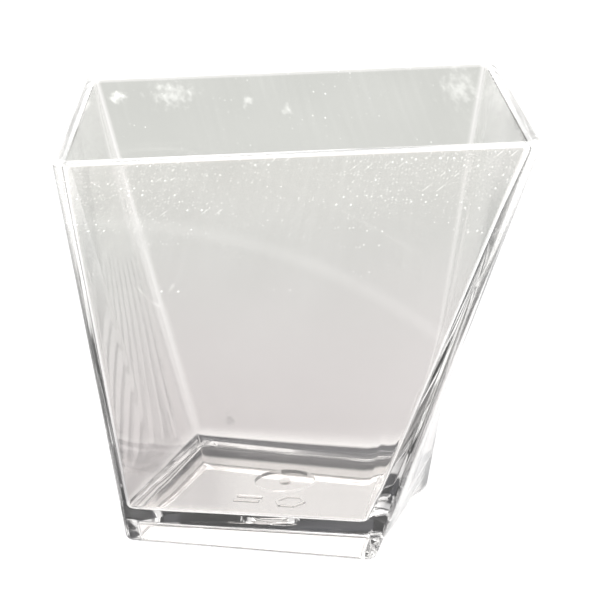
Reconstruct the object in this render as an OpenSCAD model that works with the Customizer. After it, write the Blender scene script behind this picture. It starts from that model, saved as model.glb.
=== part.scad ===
// A small clear dessert cup: a square mouth over a smaller base that is turned against it,
// so the four walls are twisted surfaces and the four corner edges are straight lines.
// The cavity is drawn in the same way, from its own outline on the floor up to the mouth.

/* [Mouth] */
// Outer width of the square mouth
mouth_w = 60; // [54:0.5:72]
// Outer radius of the mouth's corners
mouth_corner_r = 2.4; // [1.6:0.1:6]
// Wall thickness at the rim, which ends in a full round
rim_wall = 1.6; // [1.2:0.1:2]

/* [Base] */
// Outer width of the base
base_w = 35.2; // [32:0.1:42]
// Outer depth of the base
base_d = 28; // [25:0.1:42]
// Outer radius of the base's corners
base_corner_r = 1; // [0.8:0.1:4]
// Turn of the base and of the floor against the mouth in degrees, clockwise from above
twist = 19; // [0:0.5:30]
// How far the base lies to the left of the mouth's centre
base_shift = 4.3; // [0:0.1:6]

/* [Body] */
// Height of the whole cup
height = 58; // [50:0.1:80]

/* [Floor] */
// Width of the cavity where it meets the floor
floor_w = 33.6; // [28:0.1:34]
// Depth of the cavity where it meets the floor
floor_d = 26.8; // [22:0.1:27]
// Height of the floor's upper face above the table
floor_top = 5.6; // [4.8:0.1:8]
// Thickness of the floor
floor_t = 1.9; // [1.4:0.1:2.6]
// Radius between the floor's upper face and the wall
floor_fillet = 0.7; // [0.4:0.1:2]

/* [Foot] */
// Width of the foot that runs round under the wall
foot_w = 1.8; // [1.6:0.1:3.5]
// Radius of the foot's outer lower edge
foot_edge_r = 1.1; // [0.3:0.1:1.2]
// Radius between the foot's inner face and the floor's underside
recess_fillet = 0.8; // [0.2:0.1:1]

/* [Moulding marks] */
// Diameter of the shallow round dimple round the gate, in the underside
dimple_d = 8.4; // [6:0.1:10]
// Depth of the dimple
dimple_h = 0.5; // [0.2:0.05:0.7]
// Diameter of the gate stub in the dimple
gate_d = 1.6; // [0.8:0.1:2.5]
// Length of the gate stub
gate_h = 0.4; // [0.2:0.05:0.9]
// How far the gate lies behind the middle of the base
gate_back = 1.4; // [0:0.1:3]
// Outer diameter of the plain six-sided ring
ring_d = 4.4; // [3:0.1:5]
// Length of the two plain bars
bar_l = 3.6; // [2:0.1:6]
// Width of the lines of the ring and the bars
line_w = 0.5; // [0.3:0.05:0.8]
// Depth of the ring and the bars below the underside
line_h = 0.25; // [0.15:0.05:0.5]
// Distance of the ring and the bars from the gate, towards the front
marks_y = 7.2; // [7:0.1:8.5]
// Distance of the ring and the bars from the middle of the base, sideways
marks_x = 3; // [2.6:0.1:5]

/* [Hidden] */
// Steps round one corner, along one side and up one wall
corner_steps = 5;
side_steps = 4;
wall_steps = 10;
// Steps round half the lip and round each fillet
lip_steps = 3;
fillet_steps = 4;
// Smallest radius that a corner keeps after an inset
least_corner_r = 0.8;
// How far raised marks reach into the floor
sink = 0.4;
floor_under = floor_top - floor_t;

// Two drawn bodies, each from the foot of its walls up to the mouth:
// height, width and depth at the bottom, width at the mouth, corner radii at the bottom and the mouth
outer = [0, base_w, base_d, mouth_w, base_corner_r, mouth_corner_r];
cavity = [
    floor_top, floor_w, floor_d, mouth_w - 2 * rim_wall,
    max(base_corner_r - rim_wall, least_corner_r), max(mouth_corner_r - rim_wall, least_corner_r)
];

// Share of the mouth in a body's section at height z, from 0 at its bottom to 1 at the mouth
function share(body, z) = (z - body[0]) / (height - body[0]);

// One side of a body's section: the sum of the turned bottom side and the straight mouth side
function side(body, length, u) =
    [(1 - u) * length * cos(twist) + u * body[3], -(1 - u) * length * sin(twist)];

function rotated(p, a) = [p[0] * cos(a) - p[1] * sin(a), p[0] * sin(a) + p[1] * cos(a)];

// Turn and centre of a body's section
function turn(body, u) = let (v = side(body, (body[1] + body[2]) / 2, u)) atan2(v[1], v[0]);
function centre_x(u) = -base_shift * (1 - u);

// Rounded rectangle at height z, drawn in from the body by inset, anticlockwise from above
function section(body, z, inset) =
    let (
        u = share(body, z),
        half = [norm(side(body, body[1], u)), norm(side(body, body[2], u))] / 2,
        r = max(body[4] + (body[5] - body[4]) * u - inset, least_corner_r),
        reach = half - [inset + r, inset + r],
        signs = [[1, 1], [-1, 1], [-1, -1], [1, -1]]
    )
    [for (k = [0 : 3])
        let (
            middle = [signs[k][0] * reach[0], signs[k][1] * reach[1]],
            next = [signs[(k + 1) % 4][0] * reach[0], signs[(k + 1) % 4][1] * reach[1]],
            end = [cos(90 * k + 90), sin(90 * k + 90)] * r
        )
        each concat(
            [for (i = [0 : corner_steps])
                let (a = 90 * k + 90 * i / corner_steps)
                placed(body, u, middle + [cos(a), sin(a)] * r, z)],
            [for (i = [1 : side_steps - 1])
                placed(body, u, middle + end + (next - middle) * i / side_steps, z)]
        )];
function placed(body, u, p, z) =
    let (q = rotated(p, turn(body, u)))
    [q[0] + centre_x(u), q[1], z];

// The outer body's profile as pairs of height and inset, from under the floor out and up to the lip's crest
lip_r = rim_wall / 2;
lip_z = height - lip_r;
recess_rise = [for (i = [fillet_steps : -1 : 0])
    let (a = 90 * i / fillet_steps)
    [floor_under - recess_fillet * (1 - sin(a)), foot_w + recess_fillet * (1 - cos(a))]];
foot_round = [for (i = [0 : fillet_steps])
    let (a = 90 * i / fillet_steps)
    [foot_edge_r * (1 - cos(a)), foot_edge_r * (1 - sin(a))]];
outside = [for (i = [1 : wall_steps - 1])
    [foot_edge_r + (lip_z - foot_edge_r) * i / wall_steps, 0]];
lip_outside = [for (i = [0 : lip_steps])
    let (a = 90 * i / lip_steps)
    [lip_z + lip_r * sin(a), lip_r * (1 - cos(a))]];
outer_profile = concat(recess_rise, [[0, foot_w]], foot_round, outside, lip_outside);

// The cavity's profile, from beside the lip's crest down to the floor
lip_inside = [for (i = [lip_steps - 1 : -1 : 0])
    let (a = 90 * i / lip_steps)
    [lip_z + lip_r * sin(a), -lip_r * (1 - cos(a))]];
fillet_top = floor_top + floor_fillet;
inside = [for (i = [1 : wall_steps - 1])
    [lip_z + (fillet_top - lip_z) * i / wall_steps, 0]];
floor_round = [for (i = [0 : fillet_steps])
    let (a = 90 * i / fillet_steps)
    [fillet_top - floor_fillet * sin(a), floor_fillet * (1 - cos(a))]];
cavity_profile = concat(lip_inside, inside, floor_round);

module shell() {
    rings = concat(
        [for (p = outer_profile) section(outer, p[0], p[1])],
        [for (p = cavity_profile) section(cavity, p[0], p[1])]
    );
    n = len(rings[0]);
    last = len(rings) - 1;
    crest = len(outer_profile) - 1;
    // The triangles' long edges lean the same way outside and inside, which keeps the twisted wall even
    skin = [for (i = [0 : last - 1], j = [0 : n - 1])
        let (
            a = i * n + j,
            b = i * n + (j + 1) % n
        )
        each i < crest ? [[a, a + n, b + n], [a, b + n, b]] : [[a, a + n, b], [b, a + n, b + n]]];
    polyhedron(
        points = [for (ring = rings) each ring],
        faces = concat(
            [[for (j = [0 : n - 1]) j]],
            skin,
            [[for (j = [n - 1 : -1 : 0]) last * n + j]]
        )
    );
}

// Puts its children under the floor, in the base's own turned axes, with the gate's centre as the origin
module under_floor() {
    u = share(outer, floor_under);
    translate([centre_x(u), 0, floor_under]) rotate(turn(outer, u))
        translate([0, gate_back, 0]) children();
}

module gate_dimple() {
    under_floor() translate([0, 0, dimple_h - 1]) cylinder(d = dimple_d, h = 1, $fn = 48);
}

module gate() {
    under_floor() translate([0, 0, dimple_h - gate_h]) cylinder(d = gate_d, h = gate_h + sink, $fn = 24);
}

module plain_ring() {
    under_floor() translate([marks_x, -marks_y, -line_h]) difference() {
        cylinder(d = ring_d, h = line_h + sink, $fn = 6);
        translate([0, 0, -sink]) cylinder(d = ring_d - 2 * line_w, h = line_h + sink, $fn = 6);
    }
}

module plain_bars() {
    under_floor() for (side = [-1, 1])
        translate([-marks_x, -marks_y + side * line_w * 1.5, -line_h + (line_h + sink) / 2])
            cube([bar_l, line_w, line_h + sink], center = true);
}

module cup() {
    color([0.86, 0.87, 0.86, 0.45]) union() {
        difference() {
            shell();
            gate_dimple();
        }
        gate();
        plain_ring();
        plain_bars();
    }
}

cup();
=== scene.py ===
import math

import bpy
from bpy.props import FloatProperty, FloatVectorProperty, IntProperty, PointerProperty
from mathutils import Matrix, Vector


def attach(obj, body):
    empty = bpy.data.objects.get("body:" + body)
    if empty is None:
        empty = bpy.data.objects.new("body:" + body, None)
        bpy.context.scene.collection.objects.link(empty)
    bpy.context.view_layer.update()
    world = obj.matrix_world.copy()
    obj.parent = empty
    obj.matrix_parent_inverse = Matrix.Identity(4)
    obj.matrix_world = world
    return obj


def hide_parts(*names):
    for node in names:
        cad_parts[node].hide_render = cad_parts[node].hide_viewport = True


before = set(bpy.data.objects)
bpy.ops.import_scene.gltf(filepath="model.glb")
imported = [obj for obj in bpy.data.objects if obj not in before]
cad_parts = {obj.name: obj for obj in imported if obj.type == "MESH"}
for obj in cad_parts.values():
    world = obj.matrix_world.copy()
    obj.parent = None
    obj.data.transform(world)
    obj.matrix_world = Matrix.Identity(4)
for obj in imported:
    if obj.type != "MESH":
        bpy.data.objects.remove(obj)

bl_info = {
    "name": "Clear dessert cup",
    "version": (1, 0, 0),
    "blender": (4, 5, 0),
    "location": "3D View > Sidebar > Cup",
    "description": "Builds a clear plastic dessert cup with a square mouth over a turned base",
    "category": "Object",
}

MM = 0.001
# Edges that turn less than this are shaded smooth, in degrees
SMOOTH_ANGLE = 32
# Point attributes of the cup: the distance from the outer wall, and from the nearest corner edge
GAP_NAMES = ("wall_gap", "corner_gap")
# How far raised marks reach into the floor
SINK = 0.4 * MM
# The foot's inner edge lies a hair above its outer edge, so that the two loops aren't in one plane
FOOT_RISE = 0.02 * MM


def length(name, description, default):
    """A length property, given in millimetres and kept in metres."""
    return FloatProperty(
        name=name, description=description, default=default * MM, min=0, unit="LENGTH", precision=5
    )


def angle(name, description, default):
    """An angle property, given in degrees and kept in radians."""
    return FloatProperty(
        name=name, description=description, default=math.radians(default), unit="ROTATION"
    )


class CupShape(bpy.types.PropertyGroup):
    """Sizes of the cup's walls, floor and foot."""

    mouth_width: length("Mouth width", "Outer width of the square mouth", 60)
    mouth_corner: length("Mouth corner", "Outer radius of the mouth's corners", 2.4)
    base_corner: length("Base corner", "Outer radius of the base's corners", 1)
    inner_corner: length("Inner corner", "Least radius of the corners inside", 0.8)
    base_width: length("Base width", "Outer width of the base", 35.2)
    base_depth: length("Base depth", "Outer depth of the base", 28)
    base_shift: length("Base shift", "How far the base lies to the left of the mouth", 4.3)
    twist: angle("Twist", "Turn of the base against the mouth, clockwise from above", 19)
    height: length("Height", "Height of the whole cup", 58)
    rim_wall: length("Rim wall", "Wall thickness at the rim", 1.6)
    floor_width: length("Floor width", "Width of the cavity where it meets the floor", 33.6)
    floor_depth: length("Floor depth", "Depth of the cavity where it meets the floor", 26.8)
    floor_top: length("Floor top", "Height of the floor's upper face", 5.6)
    floor_thickness: length("Floor thickness", "Thickness of the floor", 1.9)
    floor_fillet: length("Floor fillet", "Radius between the floor and the wall", 0.7)
    foot_width: length("Foot width", "Width of the foot under the wall", 1.8)
    foot_edge: length("Foot edge", "Radius of the foot's outer lower edge", 1.1)
    recess_fillet: length("Recess fillet", "Radius between the foot and the underside", 0.8)
    corner_segments: IntProperty(
        name="Corner segments", description="Segments round each corner", default=14, min=3
    )
    side_cuts: IntProperty(
        name="Side cuts", description="Cuts along each side", default=31, min=0
    )
    wall_cuts: IntProperty(
        name="Wall cuts", description="Cuts up each wall", default=79, min=0
    )
    round_segments: IntProperty(
        name="Round segments", description="Segments over each fillet and round", default=8, min=2
    )


class CupMarks(bpy.types.PropertyGroup):
    """Sizes of the moulding marks under the floor."""

    dimple_diameter: length("Dimple diameter", "Diameter of the shallow round dimple round the gate", 8.4)
    dimple_depth: length("Dimple depth", "Depth of the dimple", 0.5)
    gate_diameter: length("Gate diameter", "Diameter of the gate stub in the dimple", 1.6)
    gate_length: length("Gate length", "Length of the gate stub", 0.4)
    gate_back: length("Gate back", "How far the gate lies behind the middle of the base", 1.4)
    ring_diameter: length("Ring diameter", "Outer diameter of the plain six-sided ring", 4.4)
    bar_length: length("Bar length", "Length of the two plain bars", 3.6)
    line_width: length("Line width", "Width of the lines of the ring and the bars", 0.5)
    line_depth: length("Line depth", "Depth of the ring and the bars", 0.25)
    marks_ahead: length("Marks ahead", "How far in front of the gate the marks lie", 7.2)
    marks_aside: length("Marks aside", "How far to each side of the middle the marks lie", 3)


def share_of_one(name, description, default):
    """A property for a share, a mask's strength or the like."""
    return FloatProperty(name=name, description=description, default=default, min=0, max=2)


def colour(name, description, default):
    """A colour property in linear light."""
    return FloatVectorProperty(
        name=name, description=description, default=default, subtype="COLOR", size=3, min=0, max=1
    )


class CupPlastic(bpy.types.PropertyGroup):
    """Colours, finish and wear of the clear plastic, with painted shade and painted highlights."""

    # Painted shade: the walls are tinted grey, darker at the back than at the front, in place of the shade
    # that the clear walls show
    front_top_shade: colour("Front top", "Tint of the front wall near the rim", (0.89, 0.895, 0.885))
    front_low_shade: colour("Front low", "Tint of the front wall above the floor", (0.85, 0.83, 0.825))
    back_top_shade: colour("Back top", "Tint of the back wall near the rim", (0.585, 0.59, 0.56))
    back_low_shade: colour("Back low", "Tint of the back wall above the floor", (0.67, 0.64, 0.635))
    clear: colour("Clear", "Tint of the rim, the back edges, the floor and the foot", (1.0, 0.98, 0.965))
    # Painted shade: dark corner edges low on the front, in place of the shade that the edges show
    edge_low_shade: colour("Edge low", "Tint of the front corner edges near the floor", (0.3, 0.295, 0.3))
    # Painted shade: a near-black band on the outer wall beside the floor at the back, standing in for the
    # dark room seen through the base
    foot_behind_shade: colour(
        "Foot behind", "Tint of the outer wall beside the floor, at the back", (0.004, 0.004, 0.005)
    )
    # Scuffs and painted shade: dark patches low on the front
    scuffed_and_shaded: colour("Scuffed", "Tint where the wall is scuffed", (0.1, 0.1, 0.1))
    refraction: FloatProperty(
        name="Refraction", description="Index of refraction", default=1.585, min=1, max=3
    )
    roughness: share_of_one("Roughness", "Roughness of the clean surface", 0.015)
    worn_roughness: share_of_one("Worn roughness", "Roughness where the surface is hazy", 0.12)
    # Haze, specks and scratches are drawn as white glow: the light that they catch is painted in
    haze: share_of_one("Haze", "White of the thin haze", 0.02)
    specks: share_of_one("Specks", "White of the dust specks", 0.8)
    scratches: share_of_one("Scratches", "White of the fine scratches", 0.4)
    # Painted highlights: white glow drawn on the rim and on the front corner edges near the rim
    painted_rim_highlight: share_of_one("Rim glow", "White that the rim gathers", 0.5)
    painted_edge_highlight: share_of_one("Edge glow", "White that the front corner edges gather near the rim", 0.25)
    # The branching marks and the wipe are drawn as white glow too, with the light that they catch painted in
    branches: share_of_one("Branches", "White of the two thin branching marks", 0.18)
    wipe: share_of_one("Wipe", "White of the long wipe mark", 0.022)


class CupStage(bpy.types.PropertyGroup):
    """The floor, the lights and the camera."""

    floor_radius: length("Floor radius", "Radius of the round floor", 3000)
    focal_length: FloatProperty(
        name="Focal length", description="Focal length in millimetres on a 36 mm sensor", default=140.14
    )
    camera_distance: length("Camera distance", "From the target to the camera", 317.86)
    target_x: FloatProperty(
        name="Target X", description="Camera target, sideways", default=-0.219 * MM, unit="LENGTH"
    )
    target_z: FloatProperty(
        name="Target Z", description="Camera target, upwards", default=31.075 * MM, unit="LENGTH"
    )
    camera_turn: angle("Camera turn", "Turn of the camera round the cup", -0.5939)
    camera_rise: angle("Camera rise", "Angle of the camera above the floor", 15.7472)
    camera_roll: angle("Camera roll", "Roll of the camera", -2.317)
    floor_light: share_of_one("Floor light", "How bright the floor is to the camera by itself", 0.96)
    floor_grey: share_of_one("Floor grey", "How light the floor's matt colour is", 0.3)
    world_seen: share_of_one("World seen", "Strength of the white world that is seen", 1.0)
    world_cast: share_of_one("World cast", "Strength of the white world as a light", 0.7)
    lamp_height: length("Lamp height", "Height of the lamp over the floor", 700)
    lamp_size: length("Lamp size", "Side of the square lamp", 350)
    lamp_power: FloatProperty(name="Lamp power", description="Power of the lamp in watts", default=1.2, min=0)
    bounces: IntProperty(name="Bounces", description="Bounces inside the clear plastic", default=22, min=1)


def new_primitive(adder, **settings):
    """Adds one primitive with nothing else selected and returns its object."""
    bpy.ops.object.select_all(action="DESELECT")
    adder(**settings)
    return bpy.context.object


def turn_selection(turn, centre):
    """Turns what is selected anticlockwise from above; with no window the operator turns the other way."""
    bpy.ops.transform.rotate(value=-turn, orient_axis="Z", orient_type="GLOBAL", center_override=centre)


def section(shape, z, inside=False):
    """Width, depth, turn and centre of the cup's outer section, or of its cavity, at height z."""
    start = shape.floor_top if inside else 0
    base = (shape.floor_width, shape.floor_depth) if inside else (shape.base_width, shape.base_depth)
    mouth = shape.mouth_width - (2 * shape.rim_wall if inside else 0)
    u = (z - start) / (shape.height - start)

    def side(base_side):
        """One side of the section: the sum of the turned base side and the straight mouth side."""
        return Vector((
            (1 - u) * base_side * math.cos(shape.twist) + u * mouth,
            -(1 - u) * base_side * math.sin(shape.twist),
        ))

    mean = side(sum(base) / 2)
    return {
        "width": side(base[0]).length,
        "depth": side(base[1]).length,
        "turn": math.atan2(mean.y, mean.x),
        "centre": Vector((-shape.base_shift * (1 - u), 0, z)),
        "share": u,
    }


def quarter(steps):
    """Sine and one minus cosine of each step of a quarter turn, from 0 to 90 degrees."""
    angles = [math.pi / 2 * i / steps for i in range(steps + 1)]
    return [(math.sin(a), 1 - math.cos(a)) for a in angles]


def select_edges(obj, wanted):
    """Selects the edges for which wanted(start, end) is true, in edit mode."""
    bpy.ops.mesh.select_all(action="DESELECT")
    bpy.ops.object.mode_set(mode="OBJECT")
    points = obj.data.vertices
    for edge in obj.data.edges:
        edge.select = wanted(*(points[i].co for i in edge.vertices))
    bpy.ops.object.mode_set(mode="EDIT")


def select_rings(obj, numbers):
    """Selects the loose or bridged edges that lie in the numbered rings, in edit mode."""
    bpy.ops.mesh.select_all(action="DESELECT")
    bpy.ops.object.mode_set(mode="OBJECT")
    ring = obj.data.attributes["ring"].data
    for edge in obj.data.edges:
        a, b = (ring[i].value for i in edge.vertices)
        edge.select = a == b and a in numbers
    bpy.ops.object.mode_set(mode="EDIT")


def corner_radius(shape, share, inset, inside):
    """Radius of a section's corners, drawn in with the inset but never sharp."""
    if inside:
        inset += shape.rim_wall
    outer = (1 - share) * shape.base_corner + share * shape.mouth_corner
    return max(outer - inset, shape.inner_corner)


def make_ring(shape, number, z, inset, inside):
    """One rounded section of the cup as a closed loop of edges, marked with its number."""
    where = section(shape, z, inside)
    ring = new_primitive(bpy.ops.mesh.primitive_plane_add, size=1, location=where["centre"])
    bpy.ops.object.transform_apply(location=True, rotation=True, scale=True)
    bpy.ops.object.mode_set(mode="EDIT")
    bpy.ops.mesh.select_all(action="SELECT")
    bpy.ops.transform.resize(
        value=(where["width"] - 2 * inset, where["depth"] - 2 * inset, 1),
        orient_type="GLOBAL",
        center_override=where["centre"],
    )
    radius = corner_radius(shape, where["share"], inset, inside)
    bpy.ops.mesh.bevel(
        affect="VERTICES", offset=radius, offset_type="OFFSET", segments=shape.corner_segments, profile=0.5
    )
    bpy.ops.mesh.select_mode(type="EDGE")
    select_edges(ring, lambda a, b: (a - b).length > radius * 2)
    bpy.ops.mesh.subdivide(number_cuts=shape.side_cuts)
    bpy.ops.mesh.select_all(action="SELECT")
    turn_selection(where["turn"], where["centre"])
    bpy.ops.mesh.delete(type="ONLY_FACE")
    bpy.ops.object.mode_set(mode="OBJECT")
    marks = ring.data.attributes.new("ring", "INT", "POINT")
    marks.data.foreach_set("value", [number] * len(ring.data.vertices))
    return ring


def shell_profile(shape):
    """The cup's profile from under the floor out, up, over and in: height, inset and whether it is inside."""
    steps = shape.round_segments
    under_floor = shape.floor_top - shape.floor_thickness
    recess, edge, fillet, lip = shape.recess_fillet, shape.foot_edge, shape.floor_fillet, shape.rim_wall / 2
    lip_z = shape.height - lip
    into_recess = [
        (under_floor - recess + recess * s, shape.foot_width + recess * c) for s, c in quarter(steps)
    ]
    foot = [(FOOT_RISE, shape.foot_width)]
    under_edge = [(edge - edge * s, edge * c) for s, c in quarter(steps)]
    lip_outside = [(lip_z + lip * s, lip * c) for s, c in quarter(steps)]
    lip_inside = [(lip_z + lip * s, -lip * c) for s, c in quarter(steps)[:-1]]
    into_floor = [(shape.floor_top + fillet - fillet * s, fillet * c) for s, c in quarter(steps)]
    outside = into_recess[::-1] + foot + under_edge[::-1] + lip_outside
    return [(*p, False) for p in outside] + [(*p, True) for p in lip_inside[::-1] + into_floor]


def make_shell(shape):
    """The cup's walls, floor and foot as one closed mesh, bridged from ring to ring."""
    profile = shell_profile(shape)
    rings = [make_ring(shape, number, *point) for number, point in enumerate(profile)]
    bpy.ops.object.select_all(action="DESELECT")
    for ring in rings:
        ring.select_set(True)
    cup = rings[0]
    bpy.context.view_layer.objects.active = cup
    bpy.ops.object.join()
    cup.name = cup.data.name = "dessert_cup"
    bpy.ops.object.mode_set(mode="EDIT")
    bpy.ops.mesh.select_mode(type="EDGE")
    for number in range(len(profile) - 1):
        select_rings(cup, (number, number + 1))
        bpy.ops.mesh.bridge_edge_loops()
    for end in (0, len(profile) - 1):
        select_rings(cup, (end,))
        bpy.ops.mesh.edge_face_add()
    select_edges(cup, lambda a, b: abs(a.z - b.z) > shape.height / 2)
    bpy.ops.mesh.subdivide(number_cuts=shape.wall_cuts)
    bpy.ops.mesh.select_all(action="SELECT")
    bpy.ops.mesh.normals_make_consistent(inside=False)
    bpy.ops.object.mode_set(mode="OBJECT")
    return cup


def combine(target, piece, operation):
    """Joins a closed piece to the target, or cuts it out, and removes the piece."""
    bpy.ops.object.select_all(action="DESELECT")
    bpy.context.view_layer.objects.active = target
    target.select_set(True)
    bpy.ops.object.modifier_add(type="BOOLEAN")
    boolean = target.modifiers[-1]
    boolean.operation = operation
    boolean.solver = "EXACT"
    boolean.object = piece
    bpy.ops.object.modifier_apply(modifier=boolean.name)
    bpy.data.objects.remove(piece)


def place_under_floor(shape, marks, piece, x, y, z):
    """Moves a piece, made at the origin, to x and y from the gate in the base's turned axes."""
    where = section(shape, z)
    turn = Matrix.Rotation(where["turn"], 4, "Z")
    offset = Matrix.Translation((x, y + marks.gate_back, 0))
    piece.data.transform(Matrix.Translation(where["centre"]) @ turn @ offset)


def new_disc(diameter, height, sides):
    """An upright cylinder that stands on the origin's level."""
    disc = new_primitive(
        bpy.ops.mesh.primitive_cylinder_add, vertices=sides, radius=diameter / 2, depth=height
    )
    disc.data.transform(Matrix.Translation((0, 0, height / 2)))
    return disc


def add_marks(shape, marks, cup):
    """The dimple with its gate, the plain ring and the plain bars, all in the floor's underside."""
    under = shape.floor_top - shape.floor_thickness
    cutter_height = 1 * MM
    dimple = new_disc(marks.dimple_diameter, cutter_height, sides=64)
    dimple.data.transform(Matrix.Translation((0, 0, marks.dimple_depth - cutter_height)))
    place_under_floor(shape, marks, dimple, 0, 0, under)
    combine(cup, dimple, "DIFFERENCE")
    gate = new_disc(marks.gate_diameter, marks.gate_length + SINK, sides=32)
    gate.data.transform(Matrix.Translation((0, 0, marks.dimple_depth - marks.gate_length)))
    place_under_floor(shape, marks, gate, 0, 0, under)
    combine(cup, gate, "UNION")
    ring = new_disc(marks.ring_diameter, marks.line_depth + SINK, sides=6)
    hole = new_disc(marks.ring_diameter - 2 * marks.line_width, marks.line_depth + 3 * SINK, sides=6)
    hole.data.transform(Matrix.Translation((0, 0, -SINK)))
    combine(ring, hole, "DIFFERENCE")
    # Two of the ring's corners point sideways, along the bars
    ring.data.transform(Matrix.Rotation(math.radians(30), 4, "Z"))
    pieces = [(ring, marks.marks_aside, 0)]
    for side in (-1, 1):
        bar = new_primitive(bpy.ops.mesh.primitive_cube_add, size=1)
        bar.data.transform(Matrix.Diagonal((marks.bar_length, marks.line_width, marks.line_depth + SINK, 1)))
        bar.data.transform(Matrix.Translation((0, 0, (marks.line_depth + SINK) / 2)))
        pieces.append((bar, -marks.marks_aside, side * marks.line_width * 1.5))
    for piece, x, y in pieces:
        piece.data.transform(Matrix.Translation((0, 0, -marks.line_depth)))
        place_under_floor(shape, marks, piece, x, y - marks.marks_ahead, under)
        combine(cup, piece, "UNION")


def smooth(obj):
    """Shades a piece smooth, with its large flat faces kept flat."""
    bpy.ops.object.select_all(action="DESELECT")
    bpy.context.view_layer.objects.active = obj
    obj.select_set(True)
    bpy.ops.object.shade_smooth_by_angle(angle=math.radians(SMOOTH_ANGLE))
    bpy.ops.object.modifier_add(type="WEIGHTED_NORMAL")
    weighted = obj.modifiers[-1]
    weighted.keep_sharp = True
    bpy.ops.object.modifier_apply(modifier=weighted.name)


def mark_gaps(shape, cup):
    """Keeps each point's distance from the outer wall and from the nearest corner edge, as attributes."""
    wall_gaps, corner_gaps = [], []
    for point in cup.data.vertices:
        where = section(shape, point.co.z)
        turned = Matrix.Rotation(-where["turn"], 3, "Z") @ (point.co - where["centre"])
        gaps = (where["width"] / 2 - abs(turned.x), where["depth"] / 2 - abs(turned.y))
        wall_gaps.append(min(gaps))
        corner_gaps.append(max(gaps))
    for name, values in zip(GAP_NAMES, (wall_gaps, corner_gaps)):
        cup.data.attributes.new(name, "FLOAT", "POINT").data.foreach_set("value", values)


def new_material(name):
    """An empty node material."""
    material = bpy.data.materials.new(name)
    material.use_nodes = True
    material.node_tree.nodes.clear()
    return material


def place(tree, kind, inputs=None, **settings):
    """A new shader node with its settings, and with its inputs set or linked."""
    new = tree.nodes.new("ShaderNode" + kind)
    for name, value in settings.items():
        setattr(new, name, value)
    fill(tree, new, inputs or {})
    return new


def fill(tree, node, inputs):
    """Sets or links a node's inputs."""
    for name, value in inputs.items():
        if isinstance(value, bpy.types.NodeSocket):
            tree.links.new(value, node.inputs[name])
        else:
            node.inputs[name].default_value = value


def calc(tree, operation, first, second=0.0, third=0.0, clamp=False):
    """The result of one Math node."""
    inputs = {0: first, 1: second, 2: third}
    return place(tree, "Math", inputs, operation=operation, use_clamp=clamp).outputs[0]


def vector_calc(tree, operation, first, second=(0, 0, 0), output="Vector"):
    """A result of one Vector Math node."""
    return place(tree, "VectorMath", {0: first, 1: second}, operation=operation).outputs[output]


def ramp(tree, value, start, end):
    """Rises smoothly from 0 to 1 as the value goes from start to end."""
    inputs = {"Value": value, "From Min": start, "From Max": end}
    return place(tree, "MapRange", inputs, interpolation_type="SMOOTHSTEP").outputs["Result"]


def within(tree, value, name):
    """Rises smoothly from 0 to 1 over one of the named ranges."""
    start, end = RANGES[name]
    return ramp(tree, value, start * MM, end * MM)


def mix(tree, share, first, second):
    """A colour between the first and the second."""
    node = place(tree, "Mix", {"Factor": share}, data_type="RGBA")
    for name, value in (("A_Color", first), ("B_Color", second)):
        socket = next(entry for entry in node.inputs if entry.identifier == name)
        if isinstance(value, bpy.types.NodeSocket):
            tree.links.new(value, socket)
        else:
            socket.default_value = value
    return next(entry for entry in node.outputs if entry.identifier == "Result_Color")


def new_group(name, inputs):
    """A shader node group with the named inputs and one Mask output; its tree, inputs and output node."""
    group = bpy.data.node_groups.new(name, "ShaderNodeTree")
    for entry, kind in inputs.items():
        group.interface.new_socket(entry, in_out="INPUT", socket_type="NodeSocket" + kind)
    group.interface.new_socket("Mask", in_out="OUTPUT", socket_type="NodeSocketFloat")
    start = group.nodes.new("NodeGroupInput")
    return group, start.outputs, group.nodes.new("NodeGroupOutput")


def use(tree, group, inputs):
    """The mask that a group gives with these inputs."""
    node = tree.nodes.new("ShaderNodeGroup")
    node.node_tree = group
    fill(tree, node, inputs)
    return node.outputs["Mask"]


def specks_group():
    """Small round specks: a share of the cells of a flat random pattern, each with its own size and white."""
    group, given, end = new_group(
        "dust specks", {"Vector": "Vector", "Scale": "Float", "Share": "Float", "Size": "Float"}
    )
    cells = place(
        group, "TexVoronoi", {"Vector": given["Vector"], "Scale": given["Scale"]}, voronoi_dimensions="2D"
    )
    chance = place(group, "SeparateColor", {"Color": cells.outputs["Color"]}).outputs
    kept = calc(group, "LESS_THAN", chance["Red"], given["Share"])
    radius = calc(group, "MULTIPLY", given["Size"], calc(group, "MULTIPLY_ADD", chance["Green"], 0.7, 0.3))
    inside = ramp(group, cells.outputs["Distance"], radius, 0.0)
    white = calc(group, "MULTIPLY_ADD", chance["Blue"], 0.7, 0.3)
    group.links.new(calc(group, "MULTIPLY", calc(group, "MULTIPLY", inside, kept), white), end.inputs["Mask"])
    return group


def scratches_group(specks):
    """Short fine scratches: specks that are drawn out along one direction."""
    inputs = {"Vector": "Vector", "Turn": "Float", "Scale": "Float", "Share": "Float", "Size": "Float"}
    group, given, end = new_group("fine scratches", inputs)
    turned = place(
        group, "VectorRotate", {"Vector": given["Vector"], "Angle": given["Turn"]}, rotation_type="Z_AXIS"
    )
    drawn = vector_calc(group, "MULTIPLY", turned.outputs[0], (1.0, 0.14, 1.0))
    inputs = {"Vector": drawn, "Scale": given["Scale"], "Share": given["Share"], "Size": given["Size"]}
    group.links.new(use(group, specks, inputs), end.inputs["Mask"])
    return group


def smudge_group():
    """A soft cloudy patch round a centre, with a border that a cloud makes ragged."""
    inputs = {"Vector": "Vector", "Centre": "Vector", "Reach": "Vector", "Ragged": "Float"}
    group, given, end = new_group("soft smudge", inputs)
    off = vector_calc(group, "SUBTRACT", given["Vector"], given["Centre"])
    away = vector_calc(group, "DIVIDE", off, given["Reach"])
    distance = calc(group, "ADD", vector_calc(group, "LENGTH", away, output="Value"), given["Ragged"])
    group.links.new(ramp(group, distance, 1.0, 0.0), end.inputs["Mask"])
    return group


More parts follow.
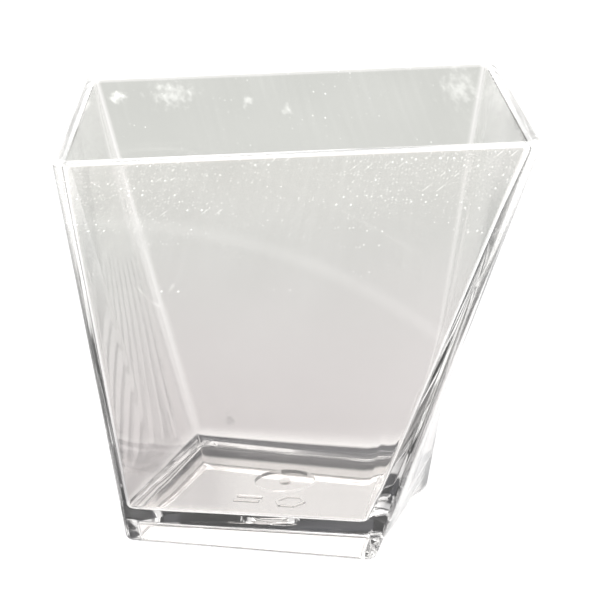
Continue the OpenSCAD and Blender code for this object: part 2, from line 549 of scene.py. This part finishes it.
def line_group():
    """A thin line between two points."""
    group, given, end = new_group(
        "drawn line", {"Vector": "Vector", "Start": "Vector", "End": "Vector", "Width": "Float"}
    )
    run = vector_calc(group, "SUBTRACT", given["End"], given["Start"])
    away = vector_calc(group, "SUBTRACT", given["Vector"], given["Start"])
    along = calc(
        group,
        "DIVIDE",
        vector_calc(group, "DOT_PRODUCT", away, run, output="Value"),
        vector_calc(group, "DOT_PRODUCT", run, run, output="Value"),
        clamp=True,
    )
    nearest = place(group, "VectorMath", {0: run, "Scale": along}, operation="SCALE").outputs["Vector"]
    gap = vector_calc(group, "LENGTH", vector_calc(group, "SUBTRACT", away, nearest), output="Value")
    group.links.new(ramp(group, gap, given["Width"], 0.0), end.inputs["Mask"])
    return group


def spot(x, y, z):
    """A place in millimetres, in metres."""
    return (x * MM, y * MM, z * MM)


# Hazy patches on the walls, drawn as white glow, in millimetres: centre, reach and white
SMUDGES = [
    ((-25.2, 28.6, 54.7), (1.2, 3, 1.1), 0.3),
    ((-17.2, 28.5, 54.8), (3.6, 3, 1.9), 0.17),
    ((24.4, 28.2, 54.2), (2.9, 3, 3.2), 0.14),
    ((-6.3, 28.2, 53.4), (0.7, 3, 1.2), 0.2),
    ((-0.7, 27.8, 52.1), (0.8, 3, 0.9), 0.22),
]
# Dark scuffs and painted shade low on the front, in millimetres: centre, reach and depth
SCUFFS_AND_SHADE = [
    ((-24.8, -12.0, 15.0), (0.9, 3, 4.4), 0.45),
    ((-10.1, -19.2, 20.8), (0.6, 3, 1.5), 0.3),
    ((-19.7, -14.6, 12.7), (5.0, 3, 1.7), 0.32),
]
# Two thin marks that branch off the back left corner, drawn as white glow, in millimetres: start, end and
# width
BRANCHES = [
    ((-20.8, 21.0, 24.9), (-23.2, 14.6, 29.6), 0.35),
    ((-20.8, 21.0, 24.9), (-18.5, 22.3, 27.6), 0.35),
]
# The long soft wipe mark over the front wall, drawn as white glow: a round of this centre (x, z) and radius,
# in millimetres
WIPE_CENTRE = (-28.8, -19.3)
WIPE_RADIUS = 69.1
# Where each mask sets in and where it is full, in millimetres: heights above the table, places to the right
# of the middle or behind it, gaps to the outer wall or to the nearest corner edge, and the wipe mark's width
RANGES = {
    "upper half": (30, 58),
    "dusty height": (43, 55),
    "front wall": (-14, -20),
    "off the middle": (4, 16),
    "wipe mark": (1.6, 0),
    "up the wall": (12, 50),
    "front to back": (-20, 16),
    "low clear height": (21, 15),
    "low clear front": (-6, -10),
    "low clear side": (-14, -8),
    "rim clear height": (44, 57),
    "rim clear ahead": (26, 20),
    "dark edge height": (27, 7),
    "high edge height": (56, 42),
    "front half": (3, -3),
    "beside an edge": (2.4, 1.2),
    "at an edge": (2, 1),
    "left side": (-12, -16),
    "rim": (56.9, 57.2),
    "base": (7.5, 5.8),
    "outer wall": (0.4, 0.1),
    "back half": (0, 4),
    "over the foot's edge": (1.1, 1.6),
    "under the floor's top": (5.8, 5.4),
    "rim glow": (57.3, 57.5),
    "edge glow": (2.0, 0.8),
    "edge glow height": (34, 48),
    "edge glow ahead": (-10, -20),
    "edge glow side": (-5, 5),
}


def add_masks(tree, masks):
    """The sum of some masks, given as pairs of a mask and its strength."""
    total = 0.0
    for mask, strength in masks:
        total = calc(tree, "MULTIPLY_ADD", mask, strength, total)
    return total


def product(tree, *factors):
    """The product of some values."""
    total = factors[0]
    for factor in factors[1:]:
        total = calc(tree, "MULTIPLY", total, factor)
    return total


def patches(tree, smudge, place_now, ragged, spots):
    """The masks of some soft patches, with the strength of each."""
    masks = []
    for centre, reach, strength in spots:
        inputs = {"Vector": place_now, "Centre": spot(*centre), "Reach": spot(*reach), "Ragged": ragged}
        masks.append((use(tree, smudge, inputs), strength))
    return masks


def flat_noise(tree, flat, scale, detail):
    """A cloud over the flat map of the walls, about 0 to 1."""
    inputs = {"Vector": flat, "Scale": scale, "Detail": detail}
    return place(tree, "TexNoise", inputs, noise_dimensions="2D").outputs["Fac"]


def wear_and_painted_light(tree, settings, place_now, parts):
    """The white glow of haze, smudges, specks, scratches, branching marks and the wipe, the depth of the dark
    scuffs and painted shade, and the haze alone.
    """
    aside, ahead, height = parts["X"], parts["Y"], parts["Z"]
    # A flat map of the walls: the way round is x + y, which never stands still on an upright wall
    flat = place(tree, "CombineXYZ", {"X": calc(tree, "ADD", aside, ahead), "Y": height}).outputs[0]
    specks = specks_group()
    scratches = scratches_group(specks)
    smudge = smudge_group()
    line = line_group()
    cloud = flat_noise(tree, flat, 90.0, 1.0)
    ragged = calc(tree, "MULTIPLY_ADD", flat_noise(tree, flat, 900.0, 2.0), 2.4, -1.2)
    tall = vector_calc(tree, "MULTIPLY", flat, (1.0, 0.08, 1.0))
    streaks = flat_noise(tree, tall, 700.0, 1.0)
    near_rim = within(tree, height, "upper half")
    at_rim = within(tree, height, "dusty height")
    front = within(tree, ahead, "front wall")
    from_middle = calc(tree, "ABSOLUTE", calc(tree, "ADD", aside, 2 * MM))
    sides = calc(tree, "MULTIPLY_ADD", within(tree, from_middle, "off the middle"), 0.75, 0.25)
    higher = calc(tree, "MULTIPLY_ADD", near_rim, 0.8, 0.2)
    haze = calc(tree, "MULTIPLY", ramp(tree, cloud, 0.3, 0.75), higher)
    streaked = calc(tree, "MULTIPLY", ramp(tree, streaks, 0.5, 0.8), near_rim)
    dusty = calc(tree, "MULTIPLY_ADD", product(tree, front, at_rim, sides), 0.96, 0.04)
    dense = product(tree, dusty, near_rim)

    def dust(scale, share, size, **more):
        """Inputs for specks: cells to a metre, share of the cells at the densest, and size in cells."""
        kept = calc(tree, "MULTIPLY", dense, share)
        return {"Vector": flat, "Scale": scale, "Share": kept, "Size": size, **more}

    few = dust(scale=900.0, share=0.22, size=0.22)
    many = dust(scale=2300.0, share=0.5, size=0.45)
    drawn = dust(scale=1500.0, share=0.2, size=0.22, Turn=0.8)
    masks = [
        (haze, settings.haze),
        (streaked, settings.haze),
        (use(tree, specks, few), settings.specks),
        (use(tree, specks, many), settings.specks * 0.35),
        (use(tree, scratches, drawn), settings.scratches),
    ]
    masks += patches(tree, smudge, place_now, ragged, SMUDGES)
    for start, end, width in BRANCHES:
        inputs = {"Vector": place_now, "Start": spot(*start), "End": spot(*end), "Width": width * MM}
        masks.append((use(tree, line, inputs), settings.branches))
    upright = vector_calc(tree, "MULTIPLY", place_now, (1.0, 0.0, 1.0))
    distance = vector_calc(tree, "DISTANCE", upright, spot(WIPE_CENTRE[0], 0, WIPE_CENTRE[1]), output="Value")
    off_arc = calc(tree, "ABSOLUTE", calc(tree, "SUBTRACT", distance, WIPE_RADIUS * MM))
    masks.append((calc(tree, "MULTIPLY", within(tree, off_arc, "wipe mark"), front), settings.wipe))
    scuffs_and_shade = add_masks(tree, patches(tree, smudge, place_now, ragged, SCUFFS_AND_SHADE))
    return add_masks(tree, masks), scuffs_and_shade, haze


def tint_and_painted_shade(tree, settings, parts, scuffs_and_shade, gaps, in_base):
    """The tint of the clear plastic at each place: walls, corner edges, rim, floor and foot, with painted
    shade on the walls, the corner edges and round the back of the foot.
    """
    aside, ahead, height = parts["X"], parts["Y"], parts["Z"]
    wall_gap, corner_gap = gaps
    names = (
        "front_top_shade", "front_low_shade", "back_top_shade", "back_low_shade", "edge_low_shade", "foot_behind_shade", "scuffed_and_shaded", "clear"
    )
    colours = {name: (*getattr(settings, name), 1) for name in names}
    upwards = within(tree, height, "up the wall")
    front = mix(tree, upwards, colours["front_low_shade"], colours["front_top_shade"])
    back = mix(tree, upwards, colours["back_low_shade"], colours["back_top_shade"])
    # The painted shade turns with the walls, so its border runs aslant between the front and the back
    across = calc(tree, "MULTIPLY_ADD", aside, -0.35, ahead)
    walls = mix(tree, within(tree, across, "front to back"), front, back)
    # Low on the front and near the rim away from the back wall, the painted shade is lifted towards the clear
    # tint
    by_floor = product(
        tree,
        within(tree, height, "low clear height"),
        within(tree, ahead, "low clear front"),
        within(tree, aside, "low clear side"),
    )
    by_rim = product(
        tree, within(tree, height, "rim clear height"), within(tree, ahead, "rim clear ahead"), 0.6
    )
    walls = mix(tree, calc(tree, "MAXIMUM", by_floor, by_rim), walls, colours["clear"])
    # Painted shade: the front corner edges are darkened low down, and the front left edge also near the rim
    in_front = within(tree, ahead, "front half")
    dark_edge = product(tree, within(tree, height, "dark edge height"), in_front)
    edges = mix(tree, dark_edge, colours["clear"], colours["edge_low_shade"])
    walls = mix(tree, within(tree, corner_gap, "beside an edge"), walls, edges)
    # Scuffs and painted shade darken patches low on the front
    walls = mix(tree, scuffs_and_shade, walls, colours["scuffed_and_shaded"])
    in_rim = within(tree, height, "rim")
    tint = mix(tree, calc(tree, "MAXIMUM", in_rim, in_base), walls, colours["clear"])
    high_edge = product(tree, within(tree, height, "high edge height"), in_front, 0.35)
    left_edge = product(
        tree,
        within(tree, corner_gap, "at an edge"),
        within(tree, aside, "left side"),
        calc(tree, "MAXIMUM", dark_edge, high_edge),
    )
    tint = mix(tree, left_edge, tint, colours["edge_low_shade"])
    # Painted shade: a near-black band on the outer wall beside the floor at the back, for the dark room seen
    # through the base
    beside_floor = product(
        tree,
        within(tree, wall_gap, "outer wall"),
        within(tree, ahead, "back half"),
        within(tree, height, "over the foot's edge"),
        within(tree, height, "under the floor's top"),
    )
    return mix(tree, beside_floor, tint, colours["foot_behind_shade"])


def painted_highlights(tree, settings, parts, corner_gap):
    """Painted highlights: the white glow drawn on the rim and on the front corner edges, stronger at the
    right edge.
    """
    rim = within(tree, parts["Z"], "rim glow")
    edge = product(
        tree,
        within(tree, corner_gap, "edge glow"),
        within(tree, parts["Z"], "edge glow height"),
        within(tree, parts["Y"], "edge glow ahead"),
        calc(tree, "MULTIPLY_ADD", within(tree, parts["X"], "edge glow side"), 0.85, 0.15),
    )
    return add_masks(tree, [(rim, settings.painted_rim_highlight), (edge, settings.painted_edge_highlight)])


def clear_plastic(settings):
    """Clear moulded plastic with a faint tint and painted shade, haze, smudges, dust specks and fine
    scratches drawn as glow, and painted highlights on the rim and front edges.
    """
    material = new_material("clear plastic")
    material.cycles.emission_sampling = "NONE"
    tree = material.node_tree
    place_now = place(tree, "TexCoord").outputs["Object"]
    parts = place(tree, "SeparateXYZ", {"Vector": place_now}).outputs
    gaps = [place(tree, "Attribute", attribute_name=name).outputs["Fac"] for name in GAP_NAMES]
    in_base = within(tree, parts["Z"], "base")
    white, scuffs_and_shade, haze = wear_and_painted_light(tree, settings, place_now, parts)
    tint = tint_and_painted_shade(tree, settings, parts, scuffs_and_shade, gaps, in_base)
    # The white becomes glow: the light that the haze, dust, scratches and marks catch, painted in, and then
    # the painted highlights on the rim and front edges
    white = calc(tree, "MULTIPLY", white, calc(tree, "SUBTRACT", 1.0, in_base))
    white = calc(tree, "ADD", white, painted_highlights(tree, settings, parts, gaps[1]))
    rough = place(
        tree, "MapRange", {"Value": haze, "To Min": settings.roughness, "To Max": settings.worn_roughness}
    )
    plastic = place(
        tree,
        "BsdfPrincipled",
        {
            "Base Color": tint,
            "Roughness": rough.outputs["Result"],
            "IOR": settings.refraction,
            "Transmission Weight": 1.0,
            "Emission Color": mix(tree, white, (0, 0, 0, 1), (1, 1, 0.98, 1)),
            "Emission Strength": 1.0,
        },
    )
    place(tree, "OutputMaterial", {"Surface": plastic.outputs["BSDF"]})
    return material


class CUP_OT_build(bpy.types.Operator):
    """Build the one moulded cup and give it its clear plastic"""

    bl_idname = "cup.build"
    bl_label = "Clear cup"

    def execute(self, context):
        scene = context.scene
        cup = make_shell(scene.cup_shape)
        add_marks(scene.cup_shape, scene.cup_marks, cup)
        smooth(cup)
        mark_gaps(scene.cup_shape, cup)
        cup.data.materials.clear()
        cup.data.materials.append(clear_plastic(scene.cup_plastic))
        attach(cup, "root")
        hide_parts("cup")
        return {"FINISHED"}


def aim_camera(stage):
    """Puts the camera where the photo was taken from."""
    turn, rise, roll = stage.camera_turn, stage.camera_rise, stage.camera_roll
    back = Vector((math.sin(turn) * math.cos(rise), -math.cos(turn) * math.cos(rise), math.sin(rise)))
    right = Vector((math.cos(turn), math.sin(turn), 0))
    up = back.cross(right)
    right_rolled = right * math.cos(roll) + up * math.sin(roll)
    up_rolled = up * math.cos(roll) - right * math.sin(roll)
    axes = Matrix((right_rolled, up_rolled, back)).transposed()
    eye = Vector((stage.target_x, 0, stage.target_z)) + back * stage.camera_distance
    bpy.ops.object.select_all(action="DESELECT")
    bpy.ops.object.camera_add(location=eye, rotation=axes.to_euler())
    camera = bpy.context.object
    camera.data.sensor_width = 36
    camera.data.lens = stage.focal_length
    camera.data.clip_start = 0.01
    camera.data.clip_end = 20
    bpy.context.scene.camera = camera


def seen_rays(tree):
    """1 for rays from the camera and through or off glossy surfaces, 0 for others."""
    path = place(tree, "LightPath").outputs
    both = calc(tree, "ADD", path["Is Camera Ray"], path["Is Glossy Ray"])
    return calc(tree, "ADD", both, path["Is Transmission Ray"], clamp=True)


def floor_material(stage):
    """White to the camera, with a soft grey shadow."""
    material = new_material("white floor")
    tree = material.node_tree
    grey = (stage.floor_grey, stage.floor_grey, stage.floor_grey, 1)
    matt = place(tree, "BsdfDiffuse", {"Color": grey})
    glow = place(tree, "Emission", {"Strength": calc(tree, "MULTIPLY", seen_rays(tree), stage.floor_light)})
    both = tree.nodes.new("ShaderNodeAddShader")
    tree.links.new(matt.outputs[0], both.inputs[0])
    tree.links.new(glow.outputs[0], both.inputs[1])
    place(tree, "OutputMaterial", {"Surface": both.outputs[0]})
    return material


def light_world(stage):
    """A plain white world."""
    world = bpy.data.worlds.new("studio")
    bpy.context.scene.world = world
    world.use_nodes = True
    tree = world.node_tree
    tree.nodes.clear()
    level = place(
        tree, "MapRange", {"Value": seen_rays(tree), "To Min": stage.world_cast, "To Max": stage.world_seen}
    )
    background = place(tree, "Background", {"Strength": level.outputs[0]})
    place(tree, "OutputWorld", {"Surface": background.outputs[0]})


# Cards round the stage, which no camera sees: name, distance from the cup in metres, start and end in
# degrees anticlockwise from +X, lowest and highest angle above the floor, and how light the card is
CARDS = [
    ("dark_card_behind", 0.9, 66, 114, 13.5, 52, 0.03),
    ("low_card_behind", 0.55, 68, 112, 0, 4.5, 0.03),
    ("grey_card_right", 0.9, 26, 66, 3, 14, 0.4),
    ("grey_card_left", 0.9, 114, 154, 5, 18, 0.45),
]


def add_card(name, distance, start, end, low, high, level):
    """A curved card at a distance from the cup, between two directions and two angles above the floor."""
    bottom, top = (distance * math.tan(math.radians(angle)) for angle in (low, high))
    card = new_primitive(
        bpy.ops.mesh.primitive_cylinder_add,
        vertices=180,
        radius=distance,
        depth=top - bottom,
        end_fill_type="NOTHING",
        location=(0, 0, (bottom + top) / 2),
    )
    card.name = name
    bpy.ops.object.mode_set(mode="EDIT")
    bpy.ops.mesh.select_mode(type="FACE")
    bpy.ops.mesh.select_all(action="DESELECT")
    bpy.ops.object.mode_set(mode="OBJECT")
    for face in card.data.polygons:
        direction = math.degrees(math.atan2(face.center.y, face.center.x))
        face.select = not start < direction < end
    bpy.ops.object.mode_set(mode="EDIT")
    bpy.ops.mesh.delete(type="FACE")
    bpy.ops.object.mode_set(mode="OBJECT")
    material = new_material(name.replace("_", " "))
    tree = material.node_tree
    matt = place(tree, "BsdfDiffuse", {"Color": (level, level, level, 1)})
    place(tree, "OutputMaterial", {"Surface": matt.outputs[0]})
    card.data.materials.append(material)
    card.visible_camera = False


class CUP_OT_stage(bpy.types.Operator):
    """Set up the floor, the lights and the camera"""

    bl_idname = "cup.stage"
    bl_label = "Stage"

    def execute(self, context):
        scene = context.scene
        stage = scene.cup_stage
        floor = new_primitive(
            bpy.ops.mesh.primitive_circle_add, vertices=128, radius=stage.floor_radius, fill_type="NGON"
        )
        floor.name = "floor"
        floor.data.materials.append(floor_material(stage))
        light_world(stage)
        for card in CARDS:
            add_card(*card)
        bpy.ops.object.light_add(type="AREA", location=(0, 0, stage.lamp_height))
        lamp = context.object
        lamp.data.shape = "SQUARE"
        lamp.data.size = stage.lamp_size
        lamp.data.energy = stage.lamp_power
        aim_camera(stage)
        scene.view_settings.view_transform = "Standard"
        scene.cycles.max_bounces = stage.bounces
        scene.cycles.transmission_bounces = stage.bounces
        scene.cycles.glossy_bounces = stage.bounces
        return {"FINISHED"}


class CUP_PT_panel(bpy.types.Panel):
    """The cup's pieces and stage in the sidebar"""

    bl_idname = "CUP_PT_panel"
    bl_label = "Clear dessert cup"
    bl_space_type = "VIEW_3D"
    bl_region_type = "UI"
    bl_category = "Cup"

    def draw(self, context):
        self.layout.operator(CUP_OT_build.bl_idname)
        self.layout.operator(CUP_OT_stage.bl_idname)


CLASSES = (CupShape, CupMarks, CupPlastic, CupStage, CUP_OT_build, CUP_OT_stage, CUP_PT_panel)


def register():
    for cls in CLASSES:
        bpy.utils.register_class(cls)
    bpy.types.Scene.cup_shape = PointerProperty(type=CupShape)
    bpy.types.Scene.cup_marks = PointerProperty(type=CupMarks)
    bpy.types.Scene.cup_plastic = PointerProperty(type=CupPlastic)
    bpy.types.Scene.cup_stage = PointerProperty(type=CupStage)


def unregister():
    for name in ("cup_stage", "cup_plastic", "cup_marks", "cup_shape"):
        delattr(bpy.types.Scene, name)
    for cls in reversed(CLASSES):
        bpy.utils.unregister_class(cls)


def main():
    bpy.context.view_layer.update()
    register()
    bpy.ops.cup.build()
    bpy.ops.cup.stage()


if __name__ == "__main__":
    main()
